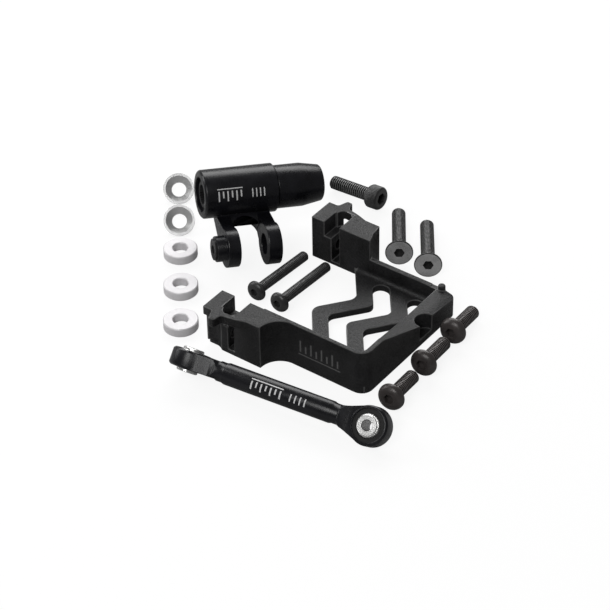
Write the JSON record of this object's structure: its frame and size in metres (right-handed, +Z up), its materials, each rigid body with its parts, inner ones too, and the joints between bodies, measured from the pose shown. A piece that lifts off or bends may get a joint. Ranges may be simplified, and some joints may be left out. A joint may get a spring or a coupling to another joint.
{
  "type": "steering servo mount kit",
  "caption": "Black servo mount with a spring servo saver lever, a ball-ended steering link, silver washers and socket screws, laid out as loose pieces.",
  "frame": {"origin": "bottom centre of the box round the whole laid-out kit, on the surface it lies on", "axes": "+X along the bracket's front wall from its jaws to its right wall, +Y across the servo bay to the rear block, +Z up"},
  "size_m": [0.118, 0.1, 0.0232],
  "materials": {
    "black_anodised": "matt black anodised, bead blasted, milled edges slightly lighter",
    "black_satin": "satin black anodised, turned",
    "black_steel": "blackened steel",
    "dark_steel": "phosphated steel",
    "spring_steel": "drawn spring wire",
    "bushing_polymer": "black acetal",
    "race_polymer": "black acetal",
    "ball_steel": "turned and polished steel",
    "bright_aluminium": "turned, satin silver",
    "black_oxide": "black oxide, lightly oiled",
    "black_oxide_warm": "black oxide with a warm cast"
  },
  "bodies": {
    "bracket": {"servo_bracket": "black_anodised"},
    "saver": {"lever_sleeve": "black_satin", "arm_insert": "black_steel", "front_bushing": "bushing_polymer", "inner_bushing": "bushing_polymer", "saver_spring": "spring_steel"},
    "saver_hub": {"spline_hub": "dark_steel"},
    "saver_cam": {"cam_collar": "dark_steel"},
    "saver_cap": {"end_cap": "black_satin"},
    "link": {"link_rod": "black_satin", "left_ball_liner": "race_polymer", "right_ball_liner": "race_polymer"},
    "link_left_ball": {"left_ball": "ball_steel"},
    "link_right_ball": {"right_ball": "ball_steel"},
    "flat_washer_1": {"flat_washer_1": "bright_aluminium"},
    "flat_washer_2": {"flat_washer_2": "bright_aluminium"},
    "flat_washer_3": {"flat_washer_3": "bright_aluminium"},
    "cup_washer_1": {"cup_washer_1": "bright_aluminium"},
    "cup_washer_2": {"cup_washer_2": "bright_aluminium"},
    "cap_head_screw": {"cap_head_screw": "black_oxide"},
    "countersunk_screw_1": {"countersunk_screw_1": "black_oxide"},
    "countersunk_screw_2": {"countersunk_screw_2": "black_oxide"},
    "long_screw_1": {"long_screw_1": "black_oxide"},
    "long_screw_2": {"long_screw_2": "black_oxide"},
    "short_screw_1": {"short_screw_1": "black_oxide_warm"},
    "short_screw_2": {"short_screw_2": "black_oxide_warm"},
    "short_screw_3": {"short_screw_3": "black_oxide_warm"}
  },
  "joints": [
    {"name": "lift_saver", "type": "slide", "parent": "bracket", "child": "saver", "axis": [0, 0, 1], "range_m": [0, 0.04]},
    {"name": "lift_link", "type": "slide", "parent": "bracket", "child": "link", "axis": [0, 0, 1], "range_m": [0, 0.04]},
    {"name": "lift_flat_washer_1", "type": "slide", "parent": "bracket", "child": "flat_washer_1", "axis": [0, 0, 1], "range_m": [0, 0.04]},
    {"name": "lift_flat_washer_2", "type": "slide", "parent": "bracket", "child": "flat_washer_2", "axis": [0, 0, 1], "range_m": [0, 0.04]},
    {"name": "lift_flat_washer_3", "type": "slide", "parent": "bracket", "child": "flat_washer_3", "axis": [0, 0, 1], "range_m": [0, 0.04]},
    {"name": "lift_cup_washer_1", "type": "slide", "parent": "bracket", "child": "cup_washer_1", "axis": [0, 0, 1], "range_m": [0, 0.04]},
    {"name": "lift_cup_washer_2", "type": "slide", "parent": "bracket", "child": "cup_washer_2", "axis": [0, 0, 1], "range_m": [0, 0.04]},
    {"name": "lift_cap_head_screw", "type": "slide", "parent": "bracket", "child": "cap_head_screw", "axis": [0, 0, 1], "range_m": [0, 0.04]},
    {"name": "lift_countersunk_screw_1", "type": "slide", "parent": "bracket", "child": "countersunk_screw_1", "axis": [0, 0, 1], "range_m": [0, 0.04]},
    {"name": "lift_countersunk_screw_2", "type": "slide", "parent": "bracket", "child": "countersunk_screw_2", "axis": [0, 0, 1], "range_m": [0, 0.04]},
    {"name": "lift_long_screw_1", "type": "slide", "parent": "bracket", "child": "long_screw_1", "axis": [0, 0, 1], "range_m": [0, 0.04]},
    {"name": "lift_long_screw_2", "type": "slide", "parent": "bracket", "child": "long_screw_2", "axis": [0, 0, 1], "range_m": [0, 0.04]},
    {"name": "lift_short_screw_1", "type": "slide", "parent": "bracket", "child": "short_screw_1", "axis": [0, 0, 1], "range_m": [0, 0.04]},
    {"name": "lift_short_screw_2", "type": "slide", "parent": "bracket", "child": "short_screw_2", "axis": [0, 0, 1], "range_m": [0, 0.04]},
    {"name": "lift_short_screw_3", "type": "slide", "parent": "bracket", "child": "short_screw_3", "axis": [0, 0, 1], "range_m": [0, 0.04]},
    {"name": "hub_turn", "type": "hinge", "parent": "saver", "child": "saver_hub", "pos_m": [-0.03145, 0.01065, 0.01557], "axis": [0.599, 0.795, -0.0958], "range_deg": [-30, 30], "stiffness_Nm_per_rad": 0.5},
    {"name": "cam_slide", "type": "slide", "parent": "saver", "child": "saver_cam", "axis": [0.599, 0.795, -0.0958], "range_m": [0, 0.0009], "stiffness_N_per_m": 1500},
    {"name": "cap_turn", "type": "hinge", "parent": "saver", "child": "saver_cap", "pos_m": [-0.01947, 0.02655, 0.01365], "axis": [0.599, 0.795, -0.0958], "range_deg": [0, 270]},
    {"name": "ball_left_tilt", "type": "hinge", "parent": "link", "child": "link_left_ball", "pos_m": [-0.00124, -0.04471, 0.00531], "axis": [-0.0828, 0.7267, -0.682], "range_deg": [-10, 10]},
    {"name": "ball_right_tilt", "type": "hinge", "parent": "link", "child": "link_right_ball", "pos_m": [0.05341, -0.03848, 0.00531], "axis": [-0.0772, 0.6776, 0.7314], "range_deg": [-10, 10]}
  ]
}
